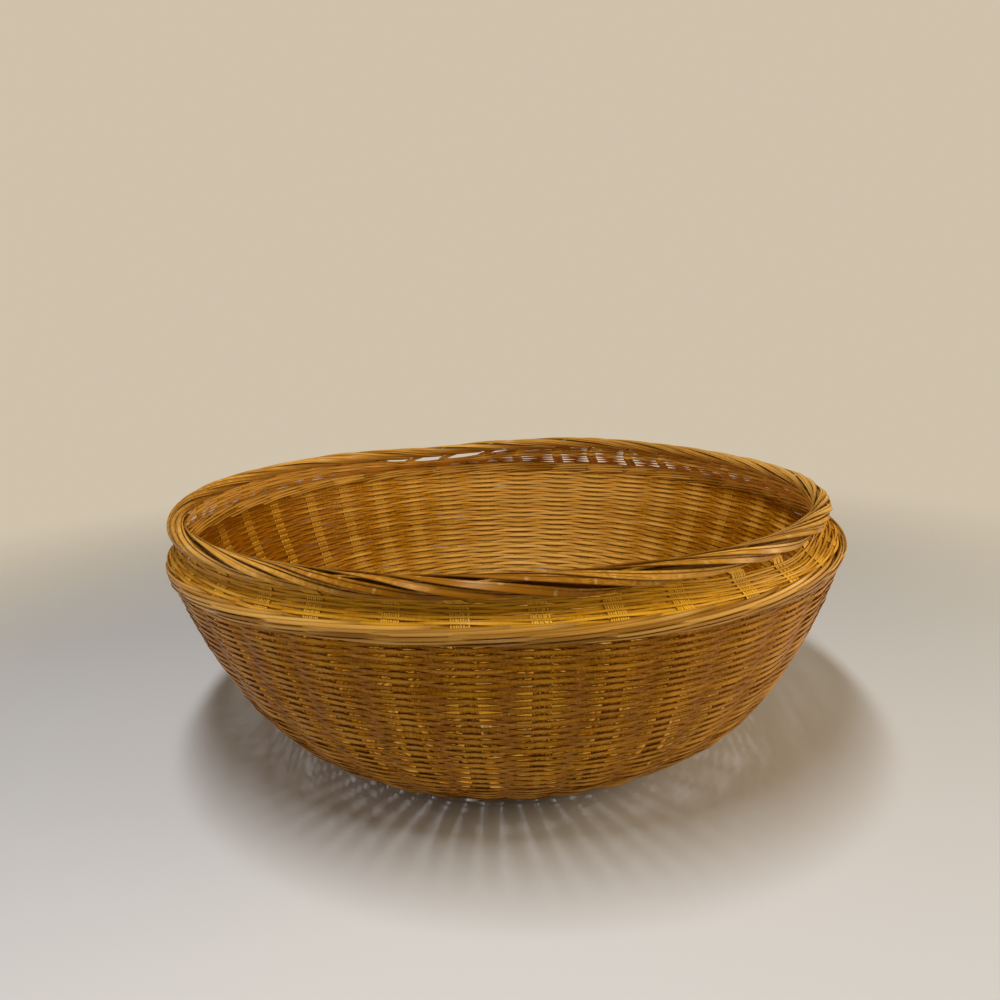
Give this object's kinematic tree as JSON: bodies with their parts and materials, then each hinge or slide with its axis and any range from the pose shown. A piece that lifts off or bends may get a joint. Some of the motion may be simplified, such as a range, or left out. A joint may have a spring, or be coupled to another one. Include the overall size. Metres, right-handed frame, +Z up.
{
  "type": "woven bamboo bowl basket",
  "caption": "Round open bamboo basket: woven bowl, twined shoulder ring, short collar and twisted rope-like rim.",
  "frame": {"origin": "middle of the underside, on the surface the basket stands on", "axes": "+Z up through the mouth, X along the lower floor stakes, Y along the upper floor stakes"},
  "size_m": [0.38, 0.3786, 0.1453],
  "materials": {
    "stake_bamboo": "satin varnish",
    "weaver_bamboo": "satin varnish",
    "border_bamboo": "satin varnish"
  },
  "bodies": {
    "root": {"collar_course_01": "weaver_bamboo", "collar_course_02": "weaver_bamboo", "floor_course_01": "weaver_bamboo", "floor_course_02": "weaver_bamboo", "floor_course_03": "weaver_bamboo", "floor_course_04": "weaver_bamboo", "lower_stake_01": "stake_bamboo", "lower_stake_02": "stake_bamboo", "lower_stake_03": "stake_bamboo", "lower_stake_04": "stake_bamboo", "lower_stake_05": "stake_bamboo", "lower_stake_06": "stake_bamboo", "lower_stake_07": "stake_bamboo", "lower_stake_08": "stake_bamboo", "lower_stake_09": "stake_bamboo", "rim_strand_1": "border_bamboo", "rim_strand_2": "border_bamboo", "rim_strand_3": "border_bamboo", "rim_strand_4": "border_bamboo", "rim_strand_5": "border_bamboo", "shoulder_strand_1": "border_bamboo", "shoulder_strand_2": "border_bamboo", "upper_stake_01": "stake_bamboo", "upper_stake_02": "stake_bamboo", "upper_stake_03": "stake_bamboo", "upper_stake_04": "stake_bamboo", "upper_stake_05": "stake_bamboo", "upper_stake_06": "stake_bamboo", "upper_stake_07": "stake_bamboo", "upper_stake_08": "stake_bamboo", "upper_stake_09": "stake_bamboo", "upper_stake_10": "stake_bamboo", "wall_course_01": "weaver_bamboo", "wall_course_02": "weaver_bamboo", "wall_course_03": "weaver_bamboo", "wall_course_04": "weaver_bamboo", "wall_course_05": "weaver_bamboo", "wall_course_06": "weaver_bamboo", "wall_course_07": "weaver_bamboo", "wall_course_08": "weaver_bamboo", "wall_course_09": "weaver_bamboo", "wall_course_10": "weaver_bamboo", "wall_course_11": "weaver_bamboo", "wall_course_12": "weaver_bamboo", "wall_course_13": "weaver_bamboo", "wall_course_14": "weaver_bamboo", "wall_course_15": "weaver_bamboo", "wall_course_16": "weaver_bamboo"}
  },
  "joints": []
}
